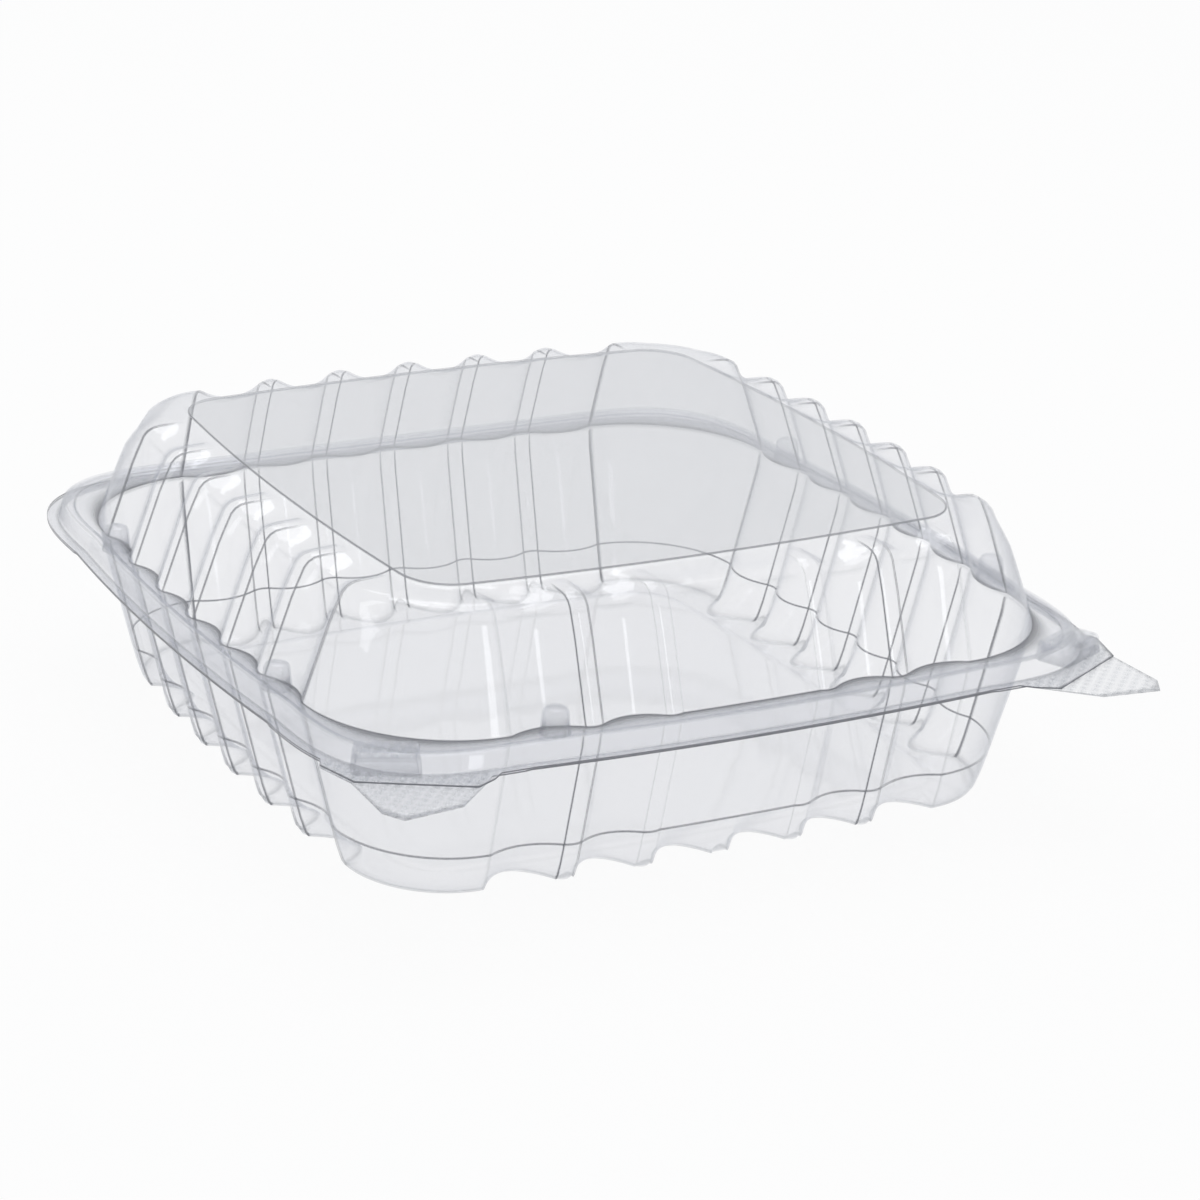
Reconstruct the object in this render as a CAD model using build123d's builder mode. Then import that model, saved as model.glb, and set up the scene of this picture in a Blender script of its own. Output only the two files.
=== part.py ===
"""Clear plastic clamshell pack: a fluted tray and a fluted lid, thermoformed from one sheet.

Millimetres, +Z up. The origin is on the table, under the middle of the tray. The front, with its
two corner tabs, faces -Y, and the fold that joins lid and tray runs along X at the back.
"""

import os
from math import sqrt

from build123d import *

# Overall sizes
width = 228.0  # lip edge to lip edge, along X
depth = 237.0  # front lip edge to the fold, along Y
tray_height = 41.5  # table to the plane where the two lips meet
lid_height = 34.4  # that plane to the top of the lid
sheet = 0.35  # thickness of the formed sheet

# Flutes: wide hollow bays between narrow ribs
rib_pitch = 21.6
rib_width = 4.6
side_bow = 2.7  # how far a side curves back at its last rib
bay_depth = 3.0  # how far a bay is hollowed at the foot of the lid wall
foot_scoop = 8.5  # how far a bay is hollowed where the tray meets the table

# Rim: a lip, a sloping skirt and a flat ledge
rim_width = 9.2  # lid wall foot to lip edge at the sides
front_rim_extra = 2.4  # how much wider the rim is at the front and the back
skirt_foot = 2.7  # lip edge to the foot of the skirt
skirt_top = 5.4  # lip edge to the top of the skirt
ledge_rise = 3.9  # lip plane to the ledge
lip_gap = 0.1  # between the two lips
nest_gap = 0.25  # between the tray's skirt and the lid's skirt over it
lip_corner = 33.0  # corner radius of the lip

# Walls
lid_inset = 10.2  # lid wall foot to the bend at its shoulder
crown_inset = 24.6  # lid wall foot to the edge of the flat crown
tray_inset = 11.6  # tray wall, rim to table
chamfer_height = 11.0  # table to the line where the scooped chamfer starts

# Front corner tabs, from the lip's square corner, and the snaps behind them
lid_tab = ((34.0, 28.5), (3.5, 23.5), (6.8, 11.1), (32.4, -2.8), (38.0, 0.0))
tray_tab = ((34.0, 28.5), (3.5, 23.5), (6.5, 12.0), (5.7, -6.7), (8.9, -12.4), (24.8, -10.4), (37.0, 1.0))
snap_length = 16.5
snap_width = 10.0
snap_rise = 5.0  # lip plane to the top of a snap, level with the rim's bead
snap_from_side = 17.5  # the lip's square corner to the middle of a snap, along X
snap_from_front = 16.5  # and along Y
snap_turn = 24.0  # degrees between a snap's long side and the front

# Small lugs that keep stacked packs apart
lug_radius = 3.6
lug_rise = 6.0

half_width = width / 2
half_depth = depth / 2
body_half_x = half_width - rim_width
body_half_y = half_depth - rim_width - front_rim_extra
last_rib = 3 * rib_pitch
lug_place = 2.5 * rib_pitch  # the middle of a side's end bay
rim_plane = tray_height
lid_base = rim_plane + lip_gap
ledge = lid_base + ledge_rise
tray_ledge = ledge - sheet - nest_gap
crown = rim_plane + lid_height


def side_distance(half, along):
    """How far a bowed side lies from the middle plane at a place along it."""
    return half - side_bow * (along / last_rib) ** 2


def around(side, reach, along):
    """Plan point on one of the four sides, counted from the front anticlockwise."""
    out_x, out_y = ((0, -1), (1, 0), (0, 1), (-1, 0))[side % 4]
    return Vector(out_x * reach - out_y * along, out_y * reach + out_x * along)


def fluted_outline(half_x, half_y, scoop, front_scoop):
    """Closed outline of ribs and hollow bays; the two middle front bays have their own scoop."""
    with BuildLine() as outline:
        for side in range(4):
            half = half_x if side % 2 else half_y
            next_half = half_y if side % 2 else half_x
            for bay in range(-3, 3):
                start = bay * rib_pitch + (rib_width / 2 if bay > -3 else 0)
                end = (bay + 1) * rib_pitch - (rib_width / 2 if bay < 2 else 0)
                middle = (start + end) / 2
                hollow = front_scoop if side == 0 and bay in (-1, 0) else scoop
                ThreePointArc(
                    around(side, side_distance(half, start), start),
                    around(side, side_distance(half, middle) - hollow, middle),
                    around(side, side_distance(half, end), end),
                )
                if bay < 2:
                    far = end + rib_width
                    Line(
                        around(side, side_distance(half, end), end),
                        around(side, side_distance(half, far), far),
                    )
            centre = around(side, last_rib, last_rib)
            corner = around(side, side_distance(half, last_rib), last_rib)
            following = around(side + 1, side_distance(next_half, last_rib), -last_rib)
            bulge = (corner - centre + following - centre) * sqrt(0.5)
            ThreePointArc(corner, centre + bulge, following)
    return outline.line


def fluted_form(sections, inset=0.0):
    """Ruled form through (height, inset from the wall foot, scoop, front scoop) sections."""
    with BuildPart() as form:
        for height, inward, scoop, front_scoop in sections:
            with BuildSketch(Plane.XY.offset(height)):
                with BuildLine():
                    half_x = body_half_x - inward - inset
                    half_y = body_half_y - inward - inset
                    add(fluted_outline(half_x, half_y, scoop, front_scoop))
                make_face()
        loft(ruled=True)
    return form.part


def rim_outline(inset):
    """Lip outline moved in by an amount: three bowed sides and a straight back for the fold."""
    half_x = half_width - inset
    half_y = half_depth - inset
    radius = lip_corner - inset
    side_x = side_distance(half_x, half_y - radius)
    front_y = -side_distance(half_y, half_x - radius)
    across = half_x - radius
    along = half_y - radius
    slant = 1 - sqrt(0.5)
    with BuildLine() as outline:
        ThreePointArc((-across, front_y), (0, -half_y), (across, front_y))
        near = (side_x - (side_x - across) * slant, front_y + (-along - front_y) * slant)
        ThreePointArc((across, front_y), near, (side_x, -along))
        ThreePointArc((side_x, -along), (half_x, 0), (side_x, along))
        far = (side_x - (side_x - across) * slant, half_y - radius * slant)
        ThreePointArc((side_x, along), far, (across, half_y))
        Line((across, half_y), (-across, half_y))
        ThreePointArc((-across, half_y), (-far[0], far[1]), (-side_x, along))
        ThreePointArc((-side_x, along), (-half_x, 0), (-side_x, -along))
        ThreePointArc((-side_x, -along), (-near[0], near[1]), (-across, front_y))
    return outline.line


def rim_face(height, inset):
    """Sketch of the rim outline at a height."""
    with BuildSketch(Plane.XY.offset(height)) as face:
        with BuildLine():
            add(rim_outline(inset))
        make_face()
    return face.sketch


def tab_face(height, corner_points):
    """Sketch of both front tabs; the points are measured in and back from the lip's square corner."""
    with BuildSketch(Plane.XY.offset(height)) as face:
        with BuildLine():
            Polyline([(x - half_width, y - half_depth) for x, y in corner_points], close=True)
        make_face()
        mirror(about=Plane.YZ)
    return face.sketch


def skirt_form(low, high, inset=0.0):
    """The sloping skirt between two heights, moved in by an amount."""
    slope = (skirt_top - skirt_foot) / ledge_rise
    with BuildPart() as form:
        for height in (low, high):
            add(rim_face(height, skirt_foot + (height - lid_base) * slope + inset))
        loft(ruled=True)
    return form.part


def snap_forms(base, top, inset=0.0):
    """The two diagonal snap boxes behind the front tabs, narrowing upwards."""
    with BuildPart() as form:
        for side in (-1, 1):
            place = (side * (half_width - snap_from_side), snap_from_front - half_depth)
            turned = side * snap_turn
            with BuildSketch(Plane.XY.offset(base)):
                with Locations(Location(place, turned)):
                    Rectangle(snap_length - 2 * inset, snap_width - 2 * inset)
            extrude(amount=top - base, taper=8)
    return form.part


def lug_forms(base, top, inset=0.0):
    """The small round lugs at the foot of some of the end bays of the lid."""
    places = (
        (-lug_place, -body_half_y + 1),
        (-body_half_x + 1, -lug_place),
        (-body_half_x + 1, lug_place),
        (body_half_x - 1, -lug_place),
        (body_half_x - 1, lug_place),
    )
    with BuildPart() as form:
        with BuildSketch(Plane.XY.offset(base)):
            with Locations(*places):
                Circle(lug_radius - inset)
        extrude(amount=top - base, taper=8)
    return form.part


# Lid wall, foot to crown: height above the lip plane, inset, scoop, front scoop
bend_rise = lid_height - 2.1
lid_slope = lid_inset / (bend_rise - ledge_rise)
lid_sections = [
    (ledge, 0.0, bay_depth, 0.0),
    (rim_plane + 28.0, (28.0 - ledge_rise) * lid_slope, bay_depth - 0.4, 0.0),
    (rim_plane + bend_rise - 1.0, lid_inset - 0.1, bay_depth - 0.7, 0.0),
    (crown - 1.3, lid_inset + 2.0, bay_depth - 1.0, 0.0),
    (crown - 0.7, lid_inset + 5.0, bay_depth - 1.3, 0.0),
    (crown - 0.5, crown_inset - 2.0, 0.4, 0.0),
    (crown, crown_inset, 0.0, 0.0),
]

with BuildPart() as lid:
    add(rim_face(lid_base, 0.0))
    add(tab_face(lid_base, lid_tab))
    extrude(amount=sheet)
    add(skirt_form(lid_base, ledge))
    add(fluted_form(lid_sections))
    add(snap_forms(lid_base, lid_base + snap_rise))
    add(lug_forms(ledge - sheet, ledge + lug_rise))
    hollow = [(z - sheet, inward, scoop, front) for z, inward, scoop, front in lid_sections]
    hollow[0] = (lid_base - 1.0, *hollow[0][1:])
    add(skirt_form(lid_base - 1.0, ledge - sheet, sheet), mode=Mode.SUBTRACT)
    add(fluted_form(hollow, sheet), mode=Mode.SUBTRACT)
    add(snap_forms(lid_base - 1.0, lid_base + snap_rise - sheet, sheet), mode=Mode.SUBTRACT)
    add(lug_forms(ledge - 1.0, ledge + lug_rise - sheet, sheet), mode=Mode.SUBTRACT)
lid.part.label = "lid"

# Tray wall, table to ledge: height, inset, scoop, front scoop
tray_slope = tray_inset / tray_ledge
chamfer_inset = tray_inset - chamfer_height * tray_slope
wall_clearance = 0.6
tray_sections = [
    (0.0, tray_inset + 0.8, foot_scoop, foot_scoop),
    (2.5, tray_inset - 0.4, foot_scoop - 2.6, foot_scoop - 2.6),
    (6.0, tray_inset - 1.5, foot_scoop - 4.4, foot_scoop - 4.6),
    (chamfer_height, chamfer_inset, bay_depth, 0.0),
    (tray_ledge, wall_clearance, bay_depth - 0.2, 0.0),
]

with BuildPart() as tray:
    add(rim_face(rim_plane - sheet, 0.3))
    add(tab_face(rim_plane - sheet, tray_tab))
    extrude(amount=sheet)
    nest = sheet + nest_gap
    snap_top = lid_base + snap_rise - nest
    add(skirt_form(rim_plane - sheet, tray_ledge, nest))
    add(snap_forms(rim_plane - sheet, snap_top, nest))
    add(skirt_form(rim_plane - 1.0, tray_ledge - sheet, nest + sheet), mode=Mode.SUBTRACT)
    add(snap_forms(rim_plane - 1.0, snap_top - sheet, nest + sheet), mode=Mode.SUBTRACT)
    add(fluted_form(tray_sections))
    cavity = [(z + sheet, inward, scoop, front) for z, inward, scoop, front in tray_sections]
    cavity[-1] = (tray_ledge + 1.0, *cavity[-1][1:])
    add(fluted_form(cavity, sheet), mode=Mode.SUBTRACT)
tray.part.label = "tray"

os.makedirs("parts", exist_ok=True)
export_step(lid.part, "parts/lid.step")
export_step(tray.part, "parts/tray.step")
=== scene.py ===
"""Clear hinged-lid food pack: its formed sheet, its fold and a plain studio, as a Blender add-on."""

from math import atan2, cos, pi, radians, sin
from typing import NamedTuple

import bmesh
import bpy
from mathutils import Matrix, Vector
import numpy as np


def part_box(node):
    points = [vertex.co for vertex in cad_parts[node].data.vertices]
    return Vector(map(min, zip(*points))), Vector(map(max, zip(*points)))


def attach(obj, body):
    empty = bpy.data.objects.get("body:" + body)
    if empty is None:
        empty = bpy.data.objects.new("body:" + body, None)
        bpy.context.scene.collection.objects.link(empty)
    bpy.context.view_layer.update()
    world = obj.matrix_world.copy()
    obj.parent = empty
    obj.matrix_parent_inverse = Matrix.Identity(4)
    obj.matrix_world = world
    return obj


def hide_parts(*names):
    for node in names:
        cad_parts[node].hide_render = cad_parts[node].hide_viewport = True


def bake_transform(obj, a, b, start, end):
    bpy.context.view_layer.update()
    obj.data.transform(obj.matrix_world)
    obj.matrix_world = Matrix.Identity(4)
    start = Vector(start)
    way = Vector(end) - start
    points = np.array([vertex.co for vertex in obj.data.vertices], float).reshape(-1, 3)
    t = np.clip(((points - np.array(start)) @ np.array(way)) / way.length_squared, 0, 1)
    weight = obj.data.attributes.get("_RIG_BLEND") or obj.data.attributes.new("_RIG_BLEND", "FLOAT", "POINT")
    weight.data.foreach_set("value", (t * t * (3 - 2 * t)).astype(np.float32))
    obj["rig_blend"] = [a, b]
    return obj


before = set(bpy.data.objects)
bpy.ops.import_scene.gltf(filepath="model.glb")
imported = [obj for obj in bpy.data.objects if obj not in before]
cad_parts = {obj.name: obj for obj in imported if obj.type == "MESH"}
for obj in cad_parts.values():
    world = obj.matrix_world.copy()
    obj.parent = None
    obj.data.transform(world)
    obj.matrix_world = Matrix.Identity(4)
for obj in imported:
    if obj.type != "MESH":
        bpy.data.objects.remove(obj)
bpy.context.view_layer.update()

bl_info = {
    "name": "Clear Hinged Pack",
    "version": (1, 0, 0),
    "blender": (4, 5, 0),
    "location": "View3D > Sidebar > Pack",
    "description": "Builds a clear thermoformed pack with fluted walls, and a white studio for it",
    "category": "Add Mesh",
}

MM = 0.001
LID_LOW, LID_HIGH = (Vector(corner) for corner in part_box("lid"))
RIM_HEIGHT = 0.0415  # metres from the table to the plane where the lips meet
SIDES = (Vector((0, -1)), Vector((1, 0)), Vector((0, 1)), Vector((-1, 0)))
FRONT, BACK, LEFT = 0, 2, 3
FRONT_CORNERS = (LEFT, FRONT)  # a corner has the number of the side before it

# How the outline is cut: ribs each way from the middle, steps, and a crease's half width in mm, which also
# sets the width of the painted dark line along it
RIBS = 3
BAY_STEPS = 12
CORNER_STEPS = 40
CREASE_LINE = 0.34
RIM_SQUARENESS = 3.0
# Strength of the painted dark line along the lip's cut edge.
CUT_EDGE_SHADE = 0.95
SHARP_ANGLE = radians(38)

# Heights of the sheet's middle above the lip plane, in mm
LID_LIP = 0.45
TRAY_LIP = -0.1
LID_GUTTER = 3.9
TRAY_GUTTER = 3.3
CHAMFER = 11.0  # above the table
CROWN_INSET = 24.7  # from the foot of the lid's wall in to the crown's edge

# A snap box, in mm, placed by its distance in from the lip's side and front
SNAP_SIZE = (16.5, 10.0)
SNAP_TAPER = (0.92, 0.88, 1.0)
SNAP_EDGE = 0.9
SNAP_TURN = radians(24)
SNAP_FROM_SIDE = 17.5
SNAP_FROM_FRONT = 16.5
LID_SNAP_TOP = 5.4
TRAY_SNAP_TOP = 4.7
TRAY_SNAP_INSET = 0.65

# A lug, in mm: its foot, its top, and rings of radius, depth below the top and edge line, the strength of a
# painted dark line
LUG_FOOT = 3.7
LUG_TOP = 10.5
LUG_INSET = 1.0
LUG_RINGS = ((3.1, 1.1, 0.0), (2.7, 0.3, 0.1), (2.1, 0.0, 0.0))

# The fold's half length and its section, as distance behind the lip edge and height, in mm
FOLD_REACH = 80.0
FOLD_SECTION = (
    (-0.9, TRAY_LIP),
    (-0.1, TRAY_LIP),
    (0.45, 0.0),
    (0.62, 0.18),
    (0.45, 0.36),
    (-0.1, LID_LIP),
    (-0.9, LID_LIP),
)

# The clear sheet: a falloff is a power of how edge on a face is seen
# The crease constants shape the painted dark lines: a power of the fold value, and at most how much plastic
# they lay over the sheet.
CREASE_SHADE_FALLOFF = 1.6
CREASE_SHADE_COVER = 0.95
EDGE_FALLOFF = 4.5
GLOSS_FALLOFF = 5.0
GLOSS_FACE_ON = 0.04
GLOSS_EDGE_ON = 0.55
HAZE_EVERYWHERE = 0.012
HAZE_EDGE_ON = 0.05
HAZE_ON_POINTS = 0.45
KNURL_PITCH = 2.0  # mm
WAVE_SCALE = 55.0
WAVE_HEIGHT = 0.35
POINT_HEIGHT = 0.5
BUMP_DEPTH = 0.35  # mm

# The studio: name, place, aim, size and watts of each lamp, then the camera in metres and degrees
LAMPS = (
    ("Top Softbox", (0.1, 0.1, 1.5), (0, 0, 0.04), (1.0, 1.0), 4.0),
    ("Front Window", (0.22, -1.38, 0.48), (0, 0, 0.05), (0.15, 0.55), 0.5),
    ("Side Window", (-1.3, 0.2, 0.8), (0, 0, 0.04), (0.22, 0.8), 0.7),
    ("Back Light", (0.3, 0.9, 1.5), (0, 0, 0.04), (1.0, 0.4), 2.5),
)
WORLD_LIGHT = 0.55
FLOOR_WHITE = 0.92
FLOOR_REACH = 6.0
CAMERA_PLACE = (-0.45266, -0.85757, 0.39434)
CAMERA_ANGLES = (69.6877, -2.1633, -27.7762)
CAMERA_LENS = 115.42

# Outlines of the front corner tabs, in mm in from the lip's square corner
LID_TAB = (
    (34.0, 28.5),
    (3.5, 23.5),
    (6.8, 11.1),
    (32.4, -2.8),
    (38.0, 0.0),
)
TRAY_TAB = (
    (34.0, 28.5),
    (3.5, 23.5),
    (6.5, 12.0),
    (5.7, -6.7),
    (8.9, -12.4),
    (24.8, -10.4),
    (37.0, 1.0),
)


def length(name, description, default):
    """A size property, shown in the scene's own length unit."""
    return bpy.props.FloatProperty(
        name=name, description=description, default=default, unit="LENGTH", precision=4
    )


def share(name, description, default):
    """A plain number from 0 to 1."""
    return bpy.props.FloatProperty(
        name=name, description=description, default=default, min=0.0, max=1.0, subtype="FACTOR"
    )


def colour(name, description, default):
    """A colour property."""
    return bpy.props.FloatVectorProperty(
        name=name, description=description, default=default, size=3, subtype="COLOR", min=0.0, max=1.0
    )


class PackSizes(bpy.types.PropertyGroup):
    """Sizes of the formed sheet."""

    width: length("Width", "Lip edge to lip edge", LID_HIGH.x - LID_LOW.x)
    depth: length("Depth", "Front lip edge to the fold", 2 * LID_HIGH.y)
    rim_height: length("Rim height", "Table to the plane where the lips meet", RIM_HEIGHT)
    lid_height: length("Lid height", "Lip plane to the top of the crown", LID_HIGH.z - RIM_HEIGHT)
    sheet: length("Sheet", "Thickness of the formed sheet", 0.00035)
    rib_pitch: length("Rib pitch", "Distance from rib to rib", 0.0216)
    rib_width: length("Rib width", "Width of a rib", 0.0046)
    side_bow: length("Side bow", "How far a side curves back at its last rib", 0.0027)
    bay_depth: length("Bay depth", "How far a bay is hollowed at the foot of the lid wall", 0.003)
    foot_scoop: length("Foot scoop", "How far a bay is hollowed at the table", 0.0085)
    rim_width: length("Rim width", "Lid wall foot to lip edge at the sides", 0.0092)
    front_rim_extra: length("Front rim extra", "Extra rim width at front and back", 0.0024)


class PackFinish(bpy.types.PropertyGroup):
    """Colours of the plastic and of the studio."""

    clear_tint: colour("Clear tint", "What one face of the sheet lets through", (0.968, 0.969, 0.974))
    edge_tint: colour("Edge tint", "What a face seen edge on lets through", (0.76, 0.765, 0.785))
    haze: colour("Haze", "Colour of scuffed and textured plastic", (0.86, 0.88, 0.90))
    # Painted shade: the crease colour is the dark colour painted along creases, rib edges, cut edges and
    # feet.
    crease: colour("Crease", "Colour of the lines where the sheet turns sharply", (0.16, 0.165, 0.19))
    roughness: share("Roughness", "Roughness of the gloss", 0.06)
    floor: colour("Floor", "Colour of the floor", (1.0, 1.0, 1.0))


class Station(NamedTuple):
    """One place on the closed outline: on a side, or in the corner that follows it."""

    side: int
    along: float = 0.0
    turn: float = -1.0
    hollow: float = 0.0
    # crease is the strength of the painted dark line at this station.
    crease: float = 0.0
    notch: float = 0.0
    middle_front: bool = False


class Row(NamedTuple):
    """One closed ring of the sheet, in mm; height is measured from the lip plane."""

    half_x: float
    half_y: float
    height: float
    squareness: float = 2.0
    hollow: float = 0.0
    front_hollow: float = 0.0
    lean: float = 0.0
    straight_back: bool = False
    corner_hollow: float = 0.0
    # crease, edge line and arc set painted dark lines: down rib edges, along the whole ring, and across each
    # bay.
    crease: float = 0.0
    edge_line: float = 0.0
    arc: float = 0.0
    notch: float = 0.0
    tab: tuple = ()
    tab_share: float = 0.0
    knurl: float = 0.0


class Plan:
    """The pack's sizes in mm, and the outlines worked out from them."""

    def __init__(self, sizes):
        for name in PackSizes.__annotations__:
            setattr(self, name, getattr(sizes, name) / MM)
        self.half_width = self.width / 2
        self.half_depth = self.depth / 2
        self.body_x = self.half_width - self.rim_width
        self.body_y = self.half_depth - self.rim_width - self.front_rim_extra
        self.last_rib = RIBS * self.rib_pitch
        self.stations = self.make_stations()

    def make_stations(self):
        """Stations all round, anticlockwise from the front."""
        found = []
        for side in range(4):
            found.extend(self.side_stations(side))
            found.extend(self.corner_stations(side))
        return found

    def side_stations(self, side):
        """Bays with a parabolic hollow, and ribs with a slightly raised back."""
        line = CREASE_LINE
        last_bay = RIBS - 1
        found = []
        for bay in range(-RIBS, RIBS):
            start = bay * self.rib_pitch + (self.rib_width / 2 if bay > -RIBS else 0)
            end = (bay + 1) * self.rib_pitch - (self.rib_width / 2 if bay < last_bay else 0)
            flat = side == FRONT and bay in (-1, 0)
            step = (end - start - 2 * line) / BAY_STEPS
            inner = [start + line + step * count for count in range(BAY_STEPS + 1)]
            for place in [start, *inner, end]:
                part = (place - start) / (end - start)
                at_edge = place in (start, end)
                rib = bay + (place == end)
                # A rib edge gets a painted dark line, fainter at the front's middle ribs and none at the
                # front's buried middle rib.
                strength = 1.0 if side != FRONT or abs(rib) == 2 else 0.35
                buried = side == FRONT and rib == 0
                found.append(
                    Station(
                        side,
                        place,
                        hollow=4 * part * (1 - part),
                        crease=strength if at_edge and not buried else 0.0,
                        middle_front=flat,
                    )
                )
            if bay == last_bay:
                continue
            smooth = side == FRONT and bay == -1
            for offset, raised, notch in (
                (line, 0.04, 0.25),
                (self.rib_width * 0.3, 0.14, 0.8),
                (self.rib_width * 0.5, 0.17, 1.0),
                (self.rib_width * 0.7, 0.14, 0.8),
                (self.rib_width - line, 0.04, 0.25),
            ):
                found.append(
                    Station(side, end + offset, hollow=0.0 if smooth else -raised, notch=notch)
                )
        return found

    def corner_stations(self, side):
        """Even turns, with the front corners' tab corners among them."""
        nearest = radians(1.2)
        exact = []
        if side in FRONT_CORNERS:
            for x, y in LID_TAB + TRAY_TAB:
                turn = atan2(self.half_depth - y - self.last_rib, self.half_width - x - self.last_rib)
                exact.append(turn if side == LEFT else pi / 2 - turn)
        even = [pi / 2 * count / CORNER_STEPS for count in range(1, CORNER_STEPS)]
        kept = [turn for turn in even if all(abs(turn - other) > nearest for other in exact)]
        return [Station(side, turn=turn) for turn in sorted(set(kept + exact))]

    def reach(self, row, side, along):
        """How far a bowed side lies from the middle plane."""
        half = row.half_x if side % 2 else row.half_y
        bow = 0.0 if row.straight_back and side == BACK else self.side_bow
        return half - bow * (along / self.last_rib) ** 2

    def corner_radius(self, row, station):
        """Distance from a corner's centre to a ring, in the direction of a station."""
        first = self.reach(row, station.side, self.last_rib) - self.last_rib
        second = self.reach(row, (station.side + 1) % 4, self.last_rib) - self.last_rib
        power = row.squareness
        total = abs(cos(station.turn) / first) ** power + abs(sin(station.turn) / second) ** power
        return total ** (-1 / power)

    def tab_radius(self, station, outline):
        """Distance from a front corner's centre to the edge of its tab, or 0 beside the tab."""
        turn = station.turn if station.side == LEFT else pi / 2 - station.turn
        ray = Vector((cos(turn), sin(turn)))
        centre = Vector((self.last_rib, self.last_rib))
        corner = Vector((self.half_width, self.half_depth))
        points = [corner - Vector(point) - centre for point in outline]
        farthest = 0.0
        for here, there in zip(points, points[1:]):
            run = there - here
            spread = ray.x * run.y - ray.y * run.x
            if abs(spread) < 1e-9:
                continue
            along = (here.y * ray.x - here.x * ray.y) / -spread
            if -1e-6 <= along <= 1 + 1e-6:
                farthest = max(farthest, (here + run * along).dot(ray))
        return farthest

    def spot(self, row, station):
        """Where a station lies on a ring."""
        out = SIDES[station.side]
        onward = SIDES[(station.side + 1) % 4]
        if station.turn < 0:
            depth = row.front_hollow if station.middle_front else row.hollow
            depth *= station.hollow
            reach = self.reach(row, station.side, station.along) - depth * cos(row.lean)
            place = out * reach + onward * station.along
            drop = depth * sin(row.lean) - row.notch * station.notch
            return Vector((place.x, place.y, row.height - drop))
        radius = self.corner_radius(row, station)
        if row.tab:
            lip = row._replace(half_x=self.half_width, half_y=self.half_depth)
            edge = self.corner_radius(lip, station)
            if station.side in FRONT_CORNERS:
                edge = max(edge, self.tab_radius(station, row.tab))
            radius += (edge - radius) * row.tab_share
        dip = row.corner_hollow * max(0.0, sin(2 * station.turn) ** 2 - 0.12)
        radius -= dip * cos(row.lean)
        centre = (out + onward) * self.last_rib
        place = centre + (out * cos(station.turn) + onward * sin(station.turn)) * radius
        return Vector((place.x, place.y, row.height - dip * sin(row.lean)))

    def body_row(self, height, inset, **more):
        """A ring of a wall, by its inset from the wall's foot."""
        return Row(self.body_x - inset, self.body_y - inset, height, **more)

    def rim_row(self, height, edge, **more):
        """A ring of the rim, by its distance from the lip edge."""
        half_x = self.half_width - edge
        half_y = self.half_depth - edge
        return Row(half_x, half_y, height, RIM_SQUARENESS, straight_back=True, **more)

    def lip_rows(self, height, start, edge, tab):
        """The flat lip, from the skirt's foot out to the lip edge and the tabs."""
        rows = []
        for part in (0.2, 0.4, 0.6, 0.8, 1.0):
            inset = start - (start - edge) * part
            # The lip's cut edge gets a painted dark line.
            line = CUT_EDGE_SHADE if part == 1.0 else 0.0
            rows.append(
                self.rim_row(height, inset, tab=tab, tab_share=part, knurl=1.0, edge_line=line)
            )
        return rows


def lid_rows(plan):
    """Rings of the lid, from the crown out to the lip."""
    body, rim = plan.body_row, plan.rim_row
    high = plan.lid_height
    deep = plan.bay_depth
    skirt_foot = 2.8
    rows = [
        # Edge line and crease values paint dark lines on the lid: a faint painted grey veil over the whole
        # crown, and full lines along its edge, the rib edges, the foot and the rim.
        body(high, CROWN_INSET + 0.7, edge_line=0.32),
        body(high, CROWN_INSET + 0.35, edge_line=0.35),
        body(high, CROWN_INSET, edge_line=1.0),
        body(high - 0.35, CROWN_INSET - 0.35),
        body(high - 0.75, 23.7),
        body(high - 0.8, 22.4, hollow=0.3, lean=1.5),
        body(high - 0.85, 20.6, hollow=1.4, front_hollow=0.2, lean=1.5, crease=0.3),
        body(high - 0.9, 18.0, hollow=2.3, front_hollow=0.3, lean=1.5, crease=0.8),
        body(high - 1.0, 15.2, hollow=2.7, front_hollow=0.2, lean=1.45, crease=1.0),
        body(high - 1.3, 13.2, hollow=2.9, lean=1.3, crease=1.0, corner_hollow=0.6),
        body(high - 2.1, 11.6, hollow=3.0, lean=1.0, crease=1.0, corner_hollow=2.0),
        body(high - 3.4, 10.4, hollow=3.0, lean=0.7, crease=1.0, corner_hollow=2.6, arc=0.25),
        body(high - 5.4, 9.5, hollow=2.7, lean=0.45, crease=1.0, corner_hollow=2.2),
        body(high - 8.0, 8.3, hollow=2.6, lean=0.35, crease=1.0, corner_hollow=1.0),
        body(23.5, 7.05, hollow=2.6, lean=0.3, crease=1.0, corner_hollow=0.2),
        body(20.0, 5.8, hollow=2.7, lean=0.3, crease=1.0),
        body(12.0, 2.9, hollow=2.8, lean=0.3, crease=1.0),
        body(6.5, 0.95, hollow=2.9, lean=0.2, crease=1.0),
        body(4.3, 0.15, hollow=deep, crease=0.8),
        body(LID_GUTTER, 0.0, hollow=deep, crease=0.4, edge_line=0.95),
        rim(LID_GUTTER, 8.9),
        rim(LID_GUTTER, 7.5),
        rim(LID_GUTTER + 0.05, 7.1, edge_line=0.5),
        rim(4.5, 6.7),
        rim(5.0, 6.0),
        rim(5.1, 5.2),
        rim(4.95, 4.7, edge_line=0.35),
        rim(4.6, 4.2),
        rim(1.0, 3.3),
        rim(0.6, 3.05),
        rim(LID_LIP, skirt_foot, edge_line=0.6),
    ]
    return rows + plan.lip_rows(LID_LIP, skirt_foot, 0.0, LID_TAB)


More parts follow.
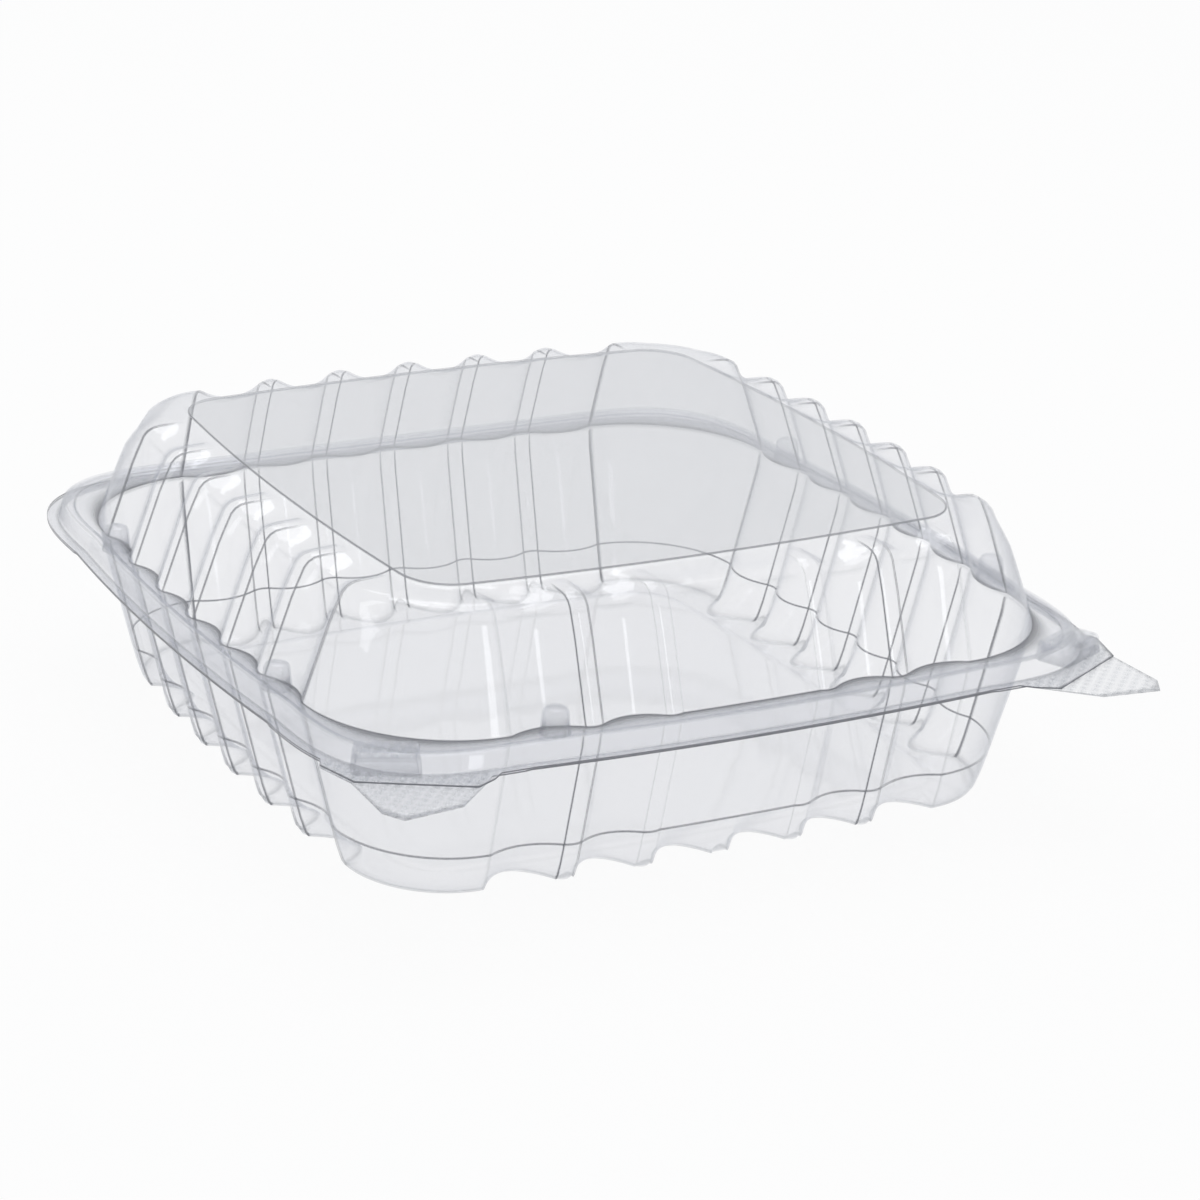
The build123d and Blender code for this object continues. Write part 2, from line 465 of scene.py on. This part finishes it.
def tray_rows(plan):
    """Rings of the tray, from the floor up and out to the lip."""
    body, rim = plan.body_row, plan.rim_row
    foot = -plan.rim_height
    scoop = plan.foot_scoop
    low = foot + plan.sheet / 2 + 0.02
    chamfer = foot + CHAMFER
    skirt_foot = 3.1
    # Edge line and crease values paint dark lines on the tray: along its floor, the chamfer, the rib edges
    # and the rim.
    rows = [
        body(low + 0.7, 27.0),
        body(low + 0.7, 25.5),
        body(low + 0.3, 24.0, edge_line=0.15),
        body(low, 22.4),
        body(low, 16.5, hollow=scoop * 0.55, front_hollow=scoop * 0.55),
        body(low, 13.4, hollow=scoop * 0.95, front_hollow=scoop * 0.95, crease=0.5, edge_line=0.2),
        body(low + 0.15, 12.4, hollow=scoop, front_hollow=scoop, crease=1.0, edge_line=0.45, notch=1.9),
        body(low + 1.2, 11.7, hollow=7.3, front_hollow=7.3, crease=1.0, edge_line=0.15, notch=1.2),
        body(foot + 3.0, 11.1, hollow=5.9, front_hollow=5.9, crease=1.0, notch=0.4),
        body(foot + 6.0, 10.1, hollow=4.2, front_hollow=4.0, crease=1.0),
        body(foot + 9.0, 9.3, hollow=3.3, front_hollow=1.6, crease=1.0),
        body(chamfer - 0.4, 8.85, hollow=3.0, front_hollow=0.1, crease=1.0),
        body(chamfer, 8.75, hollow=3.0, crease=1.0, edge_line=1.0),
        body(chamfer + 0.4, 8.65, hollow=3.0, crease=1.0),
        body(foot + 20.0, 6.45, hollow=2.9, crease=1.0),
        body(foot + 30.0, 3.85, hollow=2.8, crease=1.0),
        body(foot + 40.0, 1.3, hollow=2.6, crease=1.0),
        body(2.4, 0.75, hollow=2.0, crease=0.8),
        body(TRAY_GUTTER, 0.6, hollow=1.6, crease=0.3, edge_line=0.2),
        rim(TRAY_GUTTER, 8.2),
        rim(TRAY_GUTTER, 7.4),
        rim(4.0, 7.0),
        rim(4.45, 6.2),
        rim(4.5, 5.2, edge_line=0.15),
        rim(4.1, 4.6),
        rim(0.35, 3.75),
        rim(TRAY_LIP, skirt_foot, edge_line=0.4),
    ]
    return rows + plan.lip_rows(TRAY_LIP, skirt_foot, 0.3, TRAY_TAB)


def grow_ring(mesh, ring):
    """Extrudes a closed ring of vertices, and gives the new ring in the same order."""
    edges = [mesh.edges.get(pair) for pair in zip(ring, ring[1:] + ring[:1])]
    grown = bmesh.ops.extrude_edge_only(mesh, edges=edges)["geom"]
    fresh = {item for item in grown if isinstance(item, bmesh.types.BMVert)}
    return [
        next(edge.other_vert(vert) for edge in vert.link_edges if edge.other_vert(vert) in fresh)
        for vert in ring
    ]


def formed_sheet(plan, rows):
    """A bmesh of the whole sheet: a capped first ring, extruded from row to row."""
    mesh = bmesh.new()
    fold = mesh.verts.layers.float.new("fold")
    knurl = mesh.verts.layers.float.new("knurl")
    stations = plan.stations
    bmesh.ops.create_circle(mesh, cap_ends=False, radius=1.0, segments=len(stations))
    ring = list(mesh.verts)

    def settle(ring, row):
        """Moves a ring to its row, marks its painted shade at creases, edges and bay arcs, and marks its
        knurled tabs.
        """
        for vert, station in zip(ring, stations):
            vert.co = plan.spot(row, station)
            # The fold value holds painted shade: the strongest of the ring's edge line, the rib edge line
            # and the bay arc.
            vert[fold] = max(row.edge_line, station.crease * row.crease, station.hollow * row.arc)
            in_corner = station.turn >= 0 and station.side in FRONT_CORNERS
            on_tab = bool(row.tab) and in_corner and plan.tab_radius(station, row.tab) > 0
            vert[knurl] = row.knurl if on_tab else 0.0
            # The tray's tabs get a fainter painted line.
            if on_tab and row.tab is TRAY_TAB:
                vert[fold] = min(vert[fold], 0.4)

    settle(ring, rows[0])
    bmesh.ops.contextual_create(mesh, geom=list(mesh.edges))
    for row in rows[1:]:
        ring = grow_ring(mesh, ring)
        settle(ring, row)
    return mesh


def add_snap(mesh, plan, side, base, top, inset=0.0):
    """One snap box in a front corner: open at its foot, with rounded edges and a textured top."""
    rise = top - base
    size = (SNAP_SIZE[0] - 2 * inset, SNAP_SIZE[1] - 2 * inset, rise)
    part = bmesh.new()
    bmesh.ops.create_cube(part, size=1.0)
    bmesh.ops.scale(part, vec=size, verts=part.verts)
    bmesh.ops.scale(part, vec=SNAP_TAPER, verts=[vert for vert in part.verts if vert.co.z > 0])
    open_foot = min(part.faces, key=lambda face: face.calc_center_median().z)
    bmesh.ops.delete(part, geom=[open_foot], context="FACES_ONLY")
    kept = [edge for edge in part.edges if len(edge.link_faces) == 2]
    bmesh.ops.bevel(
        part, geom=kept, offset=SNAP_EDGE, segments=3, profile=0.5, affect="EDGES", material=-1
    )
    turn = Matrix.Rotation(side * SNAP_TURN, 4, "Z")
    across = side * (plan.half_width - SNAP_FROM_SIDE)
    place = Matrix.Translation((across, SNAP_FROM_FRONT - plan.half_depth, base + rise / 2))
    bmesh.ops.transform(part, matrix=place @ turn, verts=part.verts)
    data = bpy.data.meshes.new("snap")
    part.to_mesh(data)
    part.free()
    before = len(mesh.verts)
    mesh.from_mesh(data)
    bpy.data.meshes.remove(data)
    mesh.verts.ensure_lookup_table()
    fold = mesh.verts.layers.float["fold"]
    knurl = mesh.verts.layers.float["knurl"]
    for vert in mesh.verts[before:]:
        vert[knurl] = 0.8 if vert.co.z > top - 0.2 else 0.0
        # The snap's foot gets a painted dark line.
        vert[fold] = 0.3 if vert.co.z < base + 0.1 else 0.0


def add_lug(mesh, x, y):
    """A small round lug with a rounded top, open at its foot."""
    fold = mesh.verts.layers.float["fold"]
    ring = bmesh.ops.create_circle(mesh, cap_ends=False, radius=LUG_FOOT, segments=28)["verts"]
    for vert in ring:
        vert.co += Vector((x, y, LID_GUTTER))
        # The lug's foot gets a painted dark line.
        vert[fold] = 0.3
    for radius, depth, line in LUG_RINGS:
        ring = grow_ring(mesh, ring)
        for vert in ring:
            out = Vector((vert.co.x - x, vert.co.y - y)).normalized()
            vert.co = Vector((x + out.x * radius, y + out.y * radius, LUG_TOP - depth))
            # Each ring gets its listed painted dark line.
            vert[fold] = line
    edges = [mesh.edges.get(pair) for pair in zip(ring, ring[1:] + ring[:1])]
    bmesh.ops.contextual_create(mesh, geom=edges)


def finish_sheet(mesh, name, plan, material):
    """Turns a bmesh in mm above the lip plane into a solid sheet in the pack's own frame."""
    bmesh.ops.translate(mesh, vec=(0, 0, plan.rim_height), verts=mesh.verts)
    bmesh.ops.scale(mesh, vec=(MM, MM, MM), verts=mesh.verts)
    bmesh.ops.recalc_face_normals(mesh, faces=mesh.faces)
    data = bpy.data.meshes.new(name)
    mesh.to_mesh(data)
    mesh.free()
    data.polygons.foreach_set("use_smooth", [True] * len(data.polygons))
    data.set_sharp_from_angle(angle=SHARP_ANGLE)
    piece = bpy.data.objects.new(name, data)
    bpy.context.scene.collection.objects.link(piece)
    data.materials.append(material)
    wall = piece.modifiers.new("Wall", "SOLIDIFY")
    wall.thickness = plan.sheet * MM
    wall.offset = 0.0
    wall.use_rim = True
    return piece


def diamond_knurl():
    """Node group: a raised diamond pattern from a position, 0 in the grooves and 1 on the points."""
    name = "Diamond Knurl"
    group = bpy.data.node_groups.get(name)
    if group:
        return group
    group = bpy.data.node_groups.new(name, "ShaderNodeTree")
    for label, kind, way in (
        ("Position", "NodeSocketVector", "INPUT"),
        ("Pitch", "NodeSocketFloat", "INPUT"),
        ("Height", "NodeSocketFloat", "OUTPUT"),
    ):
        group.interface.new_socket(name=label, socket_type=kind, in_out=way)
    nodes, links = group.nodes, group.links
    start = nodes.new("NodeGroupInput")
    end = nodes.new("NodeGroupOutput")
    split = nodes.new("ShaderNodeSeparateXYZ")
    links.new(start.outputs["Position"], split.inputs[0])
    waves = []
    for sign in ("ADD", "SUBTRACT"):
        mixed = nodes.new("ShaderNodeMath")
        mixed.operation = sign
        links.new(split.outputs["X"], mixed.inputs[0])
        links.new(split.outputs["Y"], mixed.inputs[1])
        scaled = nodes.new("ShaderNodeMath")
        scaled.operation = "DIVIDE"
        links.new(mixed.outputs[0], scaled.inputs[0])
        links.new(start.outputs["Pitch"], scaled.inputs[1])
        wave = nodes.new("ShaderNodeMath")
        wave.operation = "PINGPONG"
        wave.inputs[1].default_value = 1.0
        links.new(scaled.outputs[0], wave.inputs[0])
        waves.append(wave)
    least = nodes.new("ShaderNodeMath")
    least.operation = "MULTIPLY"
    for number, wave in enumerate(waves):
        links.new(wave.outputs[0], least.inputs[number])
    links.new(least.outputs[0], end.inputs["Height"])
    return group


def clear_plastic(finish):
    """Thin clear sheet: see-through, with soft gloss, grey at its edges, and with painted dark lines at its
    creases.
    """
    material = bpy.data.materials.new("Clear Sheet")
    material.use_nodes = True
    nodes, links = material.node_tree.nodes, material.node_tree.links
    nodes.clear()

    def calculate(kind, first, second, clamp=False):
        node = nodes.new("ShaderNodeMath")
        node.operation = kind
        node.use_clamp = clamp
        for number, value in enumerate((first, second)):
            if isinstance(value, (int, float)):
                node.inputs[number].default_value = value
            else:
                links.new(value, node.inputs[number])
        return node.outputs[0]

    def blend(factor, first, second):
        node = nodes.new("ShaderNodeMix")
        node.data_type = "RGBA"
        links.new(factor, node.inputs["Factor"])
        for socket, value in ((node.inputs["A"], first), (node.inputs["B"], second)):
            if isinstance(value, tuple):
                socket.default_value = value
            else:
                links.new(value, socket)
        return node.outputs["Result"]

    def opaque(value):
        return (*value, 1.0)

    fold = nodes.new("ShaderNodeAttribute")
    fold.attribute_name = "fold"
    knurl = nodes.new("ShaderNodeAttribute")
    knurl.attribute_name = "knurl"
    where = nodes.new("ShaderNodeTexCoord")
    facing = nodes.new("ShaderNodeLayerWeight")
    facing.inputs["Blend"].default_value = 0.5
    grazing = facing.outputs["Facing"]

    waves = nodes.new("ShaderNodeTexNoise")
    waves.inputs["Scale"].default_value = WAVE_SCALE
    waves.inputs["Detail"].default_value = 2.0
    links.new(where.outputs["Object"], waves.inputs["Vector"])
    pattern = nodes.new("ShaderNodeGroup")
    pattern.node_tree = diamond_knurl()
    pattern.inputs["Pitch"].default_value = KNURL_PITCH * MM
    links.new(where.outputs["Object"], pattern.inputs["Position"])
    points = calculate("MULTIPLY", pattern.outputs["Height"], knurl.outputs["Fac"])
    ripple = calculate("MULTIPLY", waves.outputs["Fac"], WAVE_HEIGHT)
    height = calculate("ADD", ripple, calculate("MULTIPLY", points, POINT_HEIGHT))
    bump = nodes.new("ShaderNodeBump")
    bump.inputs["Strength"].default_value = 0.6
    bump.inputs["Distance"].default_value = BUMP_DEPTH * MM
    links.new(height, bump.inputs["Height"])

    # Painted shade: the fold value, raised to a power, sets how far the sheet turns to the dark crease
    # colour.
    line = calculate("POWER", fold.outputs["Fac"], CREASE_SHADE_FALLOFF)
    crease = calculate("MULTIPLY", line, CREASE_SHADE_COVER)
    edge = calculate("POWER", grazing, EDGE_FALLOFF)
    tint = blend(edge, opaque(finish.clear_tint), opaque(finish.edge_tint))
    see_through = nodes.new("ShaderNodeBsdfTransparent")
    links.new(tint, see_through.inputs["Color"])

    gloss = nodes.new("ShaderNodeBsdfAnisotropic")
    gloss.inputs["Color"].default_value = (0.97, 0.98, 1.0, 1.0)
    gloss.inputs["Roughness"].default_value = finish.roughness
    links.new(bump.outputs["Normal"], gloss.inputs["Normal"])
    rim_light = calculate("MULTIPLY", calculate("POWER", grazing, GLOSS_FALLOFF), GLOSS_EDGE_ON)
    shine = calculate("ADD", rim_light, GLOSS_FACE_ON, clamp=True)
    clear = nodes.new("ShaderNodeMixShader")
    links.new(shine, clear.inputs["Fac"])
    links.new(see_through.outputs[0], clear.inputs[1])
    links.new(gloss.outputs[0], clear.inputs[2])

    plastic = nodes.new("ShaderNodeBsdfPrincipled")
    # Base colour: haze, blended towards the painted dark crease colour by the fold value.
    haze_and_crease_shade = blend(fold.outputs["Fac"], opaque(finish.haze), opaque(finish.crease))
    links.new(haze_and_crease_shade, plastic.inputs["Base Color"])
    plastic.inputs["Roughness"].default_value = 0.18
    plastic.inputs["IOR"].default_value = 1.57
    links.new(bump.outputs["Normal"], plastic.inputs["Normal"])
    # The plastic's share: haze on the knurl points and at grazing angles, plus the painted crease shade,
    # plus a little haze everywhere.
    point_haze = calculate("MULTIPLY", points, HAZE_ON_POINTS)
    haze = calculate("ADD", point_haze, calculate("MULTIPLY", edge, HAZE_EDGE_ON))
    body = calculate("ADD", calculate("ADD", haze, crease), HAZE_EVERYWHERE, clamp=True)
    whole = nodes.new("ShaderNodeMixShader")
    links.new(body, whole.inputs["Fac"])
    links.new(clear.outputs[0], whole.inputs[1])
    links.new(plastic.outputs[0], whole.inputs[2])
    output = nodes.new("ShaderNodeOutputMaterial")
    links.new(whole.outputs[0], output.inputs["Surface"])
    return material


def shared_plastic(context):
    """The one clear plastic, made once for every piece."""
    return bpy.data.materials.get("Clear Sheet") or clear_plastic(context.scene.pack_finish)


class PACK_OT_lid(bpy.types.Operator):
    """Form the fluted lid with its crown, rim, snaps, lugs and corner tabs"""

    bl_idname = "pack.lid"
    bl_label = "Form Lid"

    def execute(self, context):
        plan = Plan(context.scene.pack_sizes)
        mesh = formed_sheet(plan, lid_rows(plan))
        for side in (-1, 1):
            add_snap(mesh, plan, side, LID_LIP, LID_SNAP_TOP)
        last_bay_middle = (RIBS - 0.5) * plan.rib_pitch
        add_lug(mesh, -last_bay_middle, LUG_INSET - plan.body_y)
        for side in (-1, 1):
            for along in (-last_bay_middle, last_bay_middle):
                add_lug(mesh, side * (plan.body_x - LUG_INSET), along)
        lid = finish_sheet(mesh, "lid_sheet", plan, shared_plastic(context))
        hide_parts("lid")
        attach(lid, "cover")
        return {"FINISHED"}


class PACK_OT_tray(bpy.types.Operator):
    """Form the fluted tray with its scooped foot, rim, nested snaps and corner tabs"""

    bl_idname = "pack.tray"
    bl_label = "Form Tray"

    def execute(self, context):
        plan = Plan(context.scene.pack_sizes)
        mesh = formed_sheet(plan, tray_rows(plan))
        for side in (-1, 1):
            add_snap(mesh, plan, side, TRAY_LIP, TRAY_SNAP_TOP, TRAY_SNAP_INSET)
        tray = finish_sheet(mesh, "tray_sheet", plan, shared_plastic(context))
        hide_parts("tray")
        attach(tray, "base")
        return {"FINISHED"}


class PACK_OT_fold(bpy.types.Operator):
    """Form the living hinge, the narrow web that joins the two lips along the back"""

    bl_idname = "pack.fold"
    bl_label = "Form Fold"

    def execute(self, context):
        plan = Plan(context.scene.pack_sizes)
        mesh = bmesh.new()
        mesh.verts.layers.float.new("knurl")
        fold = mesh.verts.layers.float.new("fold")
        line = [mesh.verts.new((-FOLD_REACH, plan.half_depth + y, z)) for y, z in FOLD_SECTION]
        edges = [mesh.edges.new(pair) for pair in zip(line, line[1:])]
        grown = bmesh.ops.extrude_edge_only(mesh, edges=edges)["geom"]
        fresh = [item for item in grown if isinstance(item, bmesh.types.BMVert)]
        bmesh.ops.translate(mesh, vec=(2 * FOLD_REACH, 0, 0), verts=fresh)
        # The whole hinge gets a faint painted grey shade.
        for vert in mesh.verts:
            vert[fold] = 0.25
        web = finish_sheet(mesh, "hinge_fold", plan, shared_plastic(context))
        low = (0.0, plan.half_depth * MM, (plan.rim_height + TRAY_LIP) * MM)
        high = (0.0, plan.half_depth * MM, (plan.rim_height + LID_LIP) * MM)
        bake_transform(web, "base", "cover", start=low, end=high)
        return {"FINISHED"}


def seen_as_white(nodes, links):
    """The mask of rays that see the white background: camera, gloss and see-through."""
    path = nodes.new("ShaderNodeLightPath")
    total = path.outputs["Is Camera Ray"]
    for name in ("Is Glossy Ray", "Is Transmission Ray"):
        node = nodes.new("ShaderNodeMath")
        node.operation = "MAXIMUM"
        links.new(total, node.inputs[0])
        links.new(path.outputs[name], node.inputs[1])
        total = node.outputs[0]
    return total


def white_floor(finish):
    """A pale floor that shows white and keeps a soft shadow."""
    material = bpy.data.materials.new("Studio Floor")
    material.use_nodes = True
    nodes, links = material.node_tree.nodes, material.node_tree.links
    nodes.clear()
    matt = nodes.new("ShaderNodeBsdfDiffuse")
    matt.inputs["Color"].default_value = (*finish.floor, 1.0)
    white = nodes.new("ShaderNodeEmission")
    white.inputs["Strength"].default_value = 1.0
    mix = nodes.new("ShaderNodeMixShader")
    keep = nodes.new("ShaderNodeMath")
    keep.operation = "MULTIPLY"
    keep.inputs[1].default_value = FLOOR_WHITE
    links.new(seen_as_white(nodes, links), keep.inputs[0])
    links.new(keep.outputs[0], mix.inputs["Fac"])
    links.new(matt.outputs[0], mix.inputs[1])
    links.new(white.outputs[0], mix.inputs[2])
    output = nodes.new("ShaderNodeOutputMaterial")
    links.new(mix.outputs[0], output.inputs["Surface"])
    return material


def white_world():
    """World: white to the camera and through the sheet, a softer grey as light."""
    world = bpy.data.worlds.new("Studio")
    bpy.context.scene.world = world
    world.use_nodes = True
    nodes, links = world.node_tree.nodes, world.node_tree.links
    nodes.clear()
    light = nodes.new("ShaderNodeBackground")
    light.inputs["Color"].default_value = (0.95, 0.97, 1.0, 1.0)
    light.inputs["Strength"].default_value = WORLD_LIGHT
    white = nodes.new("ShaderNodeBackground")
    white.inputs["Color"].default_value = (1.0, 1.0, 1.0, 1.0)
    mix = nodes.new("ShaderNodeMixShader")
    links.new(seen_as_white(nodes, links), mix.inputs["Fac"])
    links.new(light.outputs[0], mix.inputs[1])
    links.new(white.outputs[0], mix.inputs[2])
    output = nodes.new("ShaderNodeOutputWorld")
    links.new(mix.outputs[0], output.inputs["Surface"])


def softbox(name, place, aim, size, power):
    """One rectangular soft lamp, aimed at a point."""
    data = bpy.data.lights.new(name, "AREA")
    data.shape = "RECTANGLE"
    data.size, data.size_y = size
    data.energy = power
    lamp = bpy.data.objects.new(name, data)
    lamp.location = place
    lamp.rotation_euler = (Vector(aim) - Vector(place)).to_track_quat("-Z", "Y").to_euler()
    lamp.visible_camera = False
    bpy.context.scene.collection.objects.link(lamp)


class PACK_OT_studio(bpy.types.Operator):
    """Add the white floor, the soft lamps and the camera"""

    bl_idname = "pack.studio"
    bl_label = "Add Studio"

    def execute(self, context):
        scene = context.scene
        mesh = bmesh.new()
        bmesh.ops.create_grid(mesh, x_segments=1, y_segments=1, size=FLOOR_REACH)
        data = bpy.data.meshes.new("studio_floor")
        mesh.to_mesh(data)
        mesh.free()
        floor = bpy.data.objects.new("studio_floor", data)
        data.materials.append(white_floor(scene.pack_finish))
        scene.collection.objects.link(floor)
        white_world()
        for lamp in LAMPS:
            softbox(*lamp)
        scene.view_settings.view_transform = "Standard"
        scene.cycles.transparent_max_bounces = 64

        lens = bpy.data.cameras.new("Camera")
        lens.sensor_width = 36.0
        lens.lens = CAMERA_LENS
        camera = bpy.data.objects.new("Camera", lens)
        camera.location = CAMERA_PLACE
        camera.rotation_euler = [radians(angle) for angle in CAMERA_ANGLES]
        scene.collection.objects.link(camera)
        scene.camera = camera
        return {"FINISHED"}


class PACK_PT_panel(bpy.types.Panel):
    """Lists the sizes, the finish and the operators"""

    bl_idname = "PACK_PT_panel"
    bl_label = "Clear Hinged Pack"
    bl_space_type = "VIEW_3D"
    bl_region_type = "UI"
    bl_category = "Pack"

    def draw(self, context):
        for group in (context.scene.pack_sizes, context.scene.pack_finish):
            column = self.layout.column(align=True)
            for name in type(group).__annotations__:
                column.prop(group, name)
        column = self.layout.column(align=True)
        for step in STEPS:
            column.operator(step.bl_idname)


STEPS = (PACK_OT_tray, PACK_OT_lid, PACK_OT_fold, PACK_OT_studio)
CLASSES = (PackSizes, PackFinish, *STEPS, PACK_PT_panel)


def register():
    """Adds the classes and the scene's settings."""
    for item in CLASSES:
        bpy.utils.register_class(item)
    bpy.types.Scene.pack_sizes = bpy.props.PointerProperty(type=PackSizes)
    bpy.types.Scene.pack_finish = bpy.props.PointerProperty(type=PackFinish)


def unregister():
    """Takes the settings and the classes away again."""
    del bpy.types.Scene.pack_finish
    del bpy.types.Scene.pack_sizes
    for item in reversed(CLASSES):
        bpy.utils.unregister_class(item)


def main():
    """Builds every piece."""
    register()
    bpy.ops.pack.tray()
    bpy.ops.pack.lid()
    bpy.ops.pack.fold()
    bpy.ops.pack.studio()


if __name__ == "__main__":
    main()
